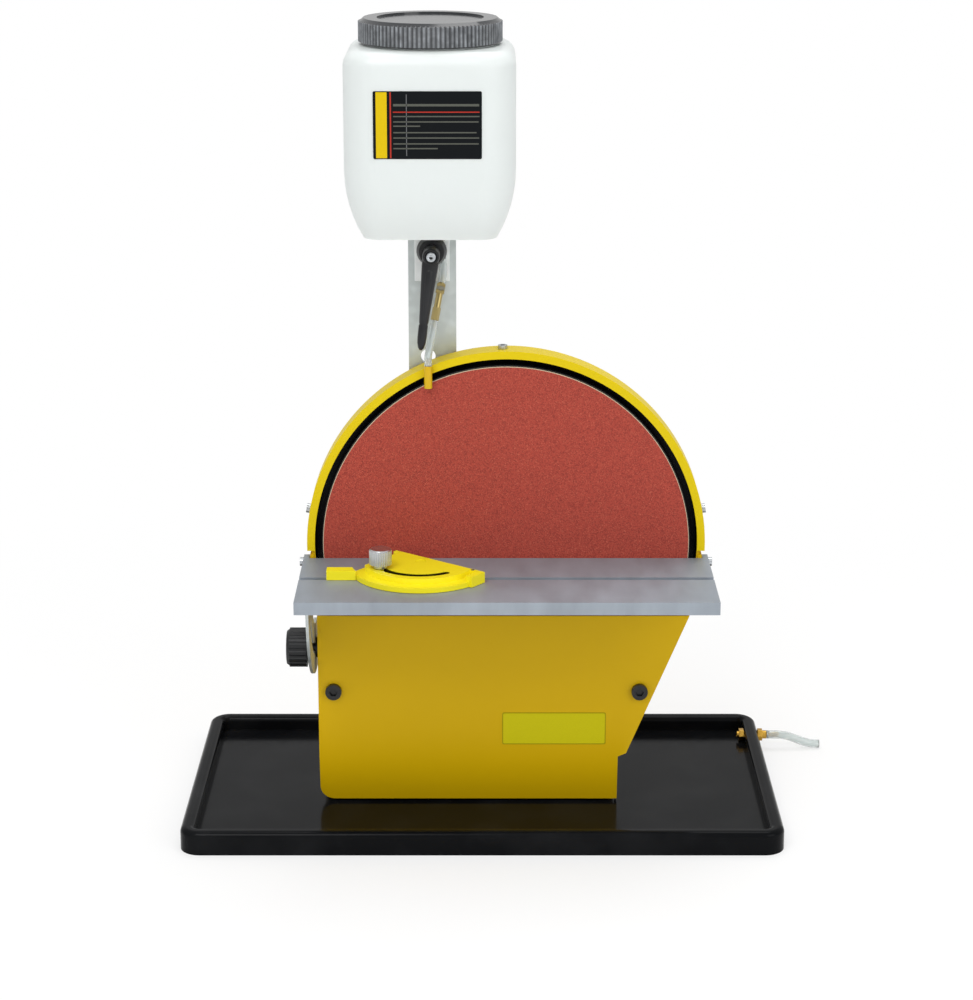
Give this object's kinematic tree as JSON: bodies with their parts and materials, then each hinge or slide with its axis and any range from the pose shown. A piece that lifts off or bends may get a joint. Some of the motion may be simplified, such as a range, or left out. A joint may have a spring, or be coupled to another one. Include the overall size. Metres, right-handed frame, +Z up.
{
  "type": "bench disc grinder with drip-feed coolant",
  "caption": "Bench disc grinder in a drip tray, with a tilting table, a mitre gauge and a coolant bottle that drips onto the disc.",
  "frame": {"origin": "on the ground under the middle of the drip tray", "axes": "+Z up; -Y is the front, where the table is; +X to the right"},
  "size_m": [0.4498, 0.226, 0.544],
  "materials": {
    "black_tray": "moulded, slightly glossy",
    "brass": "turned",
    "clear_tube": "clear flexible vinyl",
    "yellow_paint": "gloss powder coat on sheet steel",
    "rubber": "matt",
    "black_steel": "blackened",
    "disc_steel": "machined",
    "abrasive": "red-brown aluminium oxide grit, matt",
    "bright_steel": "zinc plated",
    "belt_rubber": "ribbed",
    "motor_paint": "satin",
    "zinc_sheet": "zinc plated sheet",
    "black_plastic": "moulded",
    "green_plastic": "moulded",
    "board": "lacquered laminate",
    "table_metal": "milled and brushed",
    "yellow_metal": "semi-gloss paint on a casting",
    "knob_metal": "turned and knurled",
    "milky_plastic": "blow-moulded translucent polyethylene"
  },
  "bodies": {
    "machine": {"drip_tray": "black_tray", "drain_fitting": "brass", "drain_nut": "brass", "drain_hose": "clear_tube", "base_plate": "yellow_paint", "rubber_feet": "rubber", "disc_housing": "yellow_paint", "front_cover": "yellow_paint", "cover_screws": "black_steel", "guard_hood": "yellow_paint", "hood_screws": "black_steel", "spindle_housing": "disc_steel", "front_bearing": "bright_steel", "rear_bearing": "bright_steel", "drive_belt": "belt_rubber", "motor_case": "motor_paint", "motor_plate": "disc_steel", "drive_screws": "bright_steel", "support_brackets": "zinc_sheet", "rear_housing": "yellow_paint", "rear_screws": "black_steel", "extraction_port": "black_plastic", "switch_frame": "black_plastic", "control_board": "board", "cord_gland": "black_plastic", "pivot_screws": "bright_steel", "tilt_bolt": "black_steel", "support_post": "zinc_sheet", "post_screws": "bright_steel", "clamp_bolt": "bright_steel", "clamp_boss": "black_plastic", "supply_tube": "clear_tube", "coolant_nozzle": "yellow_metal"},
    "disc": {"grinding_disc": "disc_steel", "abrasive_sheet": "abrasive", "disc_screw": "black_steel", "spindle": "bright_steel", "driven_pulley": "disc_steel"},
    "motor_rotor": {"motor_shaft": "bright_steel", "motor_pulley": "disc_steel"},
    "table": {"work_table": "table_metal", "tilt_quadrant": "zinc_sheet", "quadrant_screws": "bright_steel"},
    "tilt_knob": {"tilt_knob": "black_plastic"},
    "gauge_slide": {"gauge_bar": "yellow_metal", "gauge_pivot": "black_steel"},
    "gauge_head": {"gauge_head": "yellow_metal"},
    "gauge_knob": {"gauge_knob": "knob_metal"},
    "bottle_carriage": {"bottle_bracket": "zinc_sheet", "coolant_bottle": "milky_plastic", "bottle_outlet": "brass", "outlet_nut": "brass", "inlet_tube": "clear_tube", "valve_body": "brass"},
    "lid": {"bottle_lid": "black_plastic", "lid_seal": "rubber"},
    "valve_tap": {"valve_tap": "brass"},
    "clamp_lever": {"clamp_lever": "black_plastic"},
    "speed_dial": {"speed_dial": "black_plastic"},
    "power_rocker": {"power_rocker": "green_plastic"}
  },
  "joints": [
    {"name": "disc_spin", "type": "hinge", "parent": "machine", "child": "disc", "pos_m": [0.016, 0.027, 0.189], "axis": [0, 1, 0], "continuous": true},
    {"name": "motor_spin", "type": "hinge", "parent": "machine", "child": "motor_rotor", "pos_m": [0.016, 0.029, 0.119], "axis": [0, 1, 0], "continuous": true},
    {"name": "table_tilt", "type": "hinge", "parent": "machine", "child": "table", "pos_m": [0.016, -0.019, 0.176], "axis": [1, 0, 0], "range_deg": [-5, 50]},
    {"name": "tilt_knob_turn", "type": "hinge", "parent": "machine", "child": "tilt_knob", "pos_m": [-0.1242, -0.02925, 0.1179], "axis": [1, 0, 0], "range_deg": [-90, 90]},
    {"name": "gauge_travel", "type": "slide", "parent": "table", "child": "gauge_slide", "axis": [1, 0, 0], "range_m": [-0.018, 0.14]},
    {"name": "gauge_angle", "type": "hinge", "parent": "gauge_slide", "child": "gauge_head", "pos_m": [-0.041, -0.0535, 0.184], "axis": [0, 0, 1], "range_deg": [-52, 8]},
    {"name": "gauge_knob_turn", "type": "hinge", "parent": "gauge_slide", "child": "gauge_knob", "pos_m": [-0.06726, -0.068, 0.194], "axis": [0, 0, 1], "range_deg": [-90, 90]},
    {"name": "bottle_height", "type": "slide", "parent": "machine", "child": "bottle_carriage", "axis": [0, 0, 1], "range_m": [-0.003, 0.011], "deforming": ["supply_tube"]},
    {"name": "lid_lift", "type": "slide", "parent": "bottle_carriage", "child": "lid", "axis": [0, 0, 1], "range_m": [0, 0.06]},
    {"name": "valve_turn", "type": "hinge", "parent": "bottle_carriage", "child": "valve_tap", "pos_m": [-0.0278, -0.012, 0.3643], "axis": [0.059, -0.9511, 0.3033], "range_deg": [0, 90]},
    {"name": "clamp_lever_turn", "type": "hinge", "parent": "machine", "child": "clamp_lever", "pos_m": [-0.0335, -0.027, 0.39], "axis": [0, 1, 0], "range_deg": [-70, 70]},
    {"name": "speed_dial_turn", "type": "hinge", "parent": "machine", "child": "speed_dial", "pos_m": [0.088, 0.056, 0.193], "axis": [1, 0, 0], "range_deg": [-135, 135]},
    {"name": "power_rock", "type": "hinge", "parent": "machine", "child": "power_rocker", "pos_m": [0.087, 0.028, 0.193], "axis": [0, 1, 0], "range_deg": [-16, 0]}
  ],
  "couplings": [
    {"joint": "motor_spin", "follows": "disc_spin", "ratio": 3.75}
  ]
}
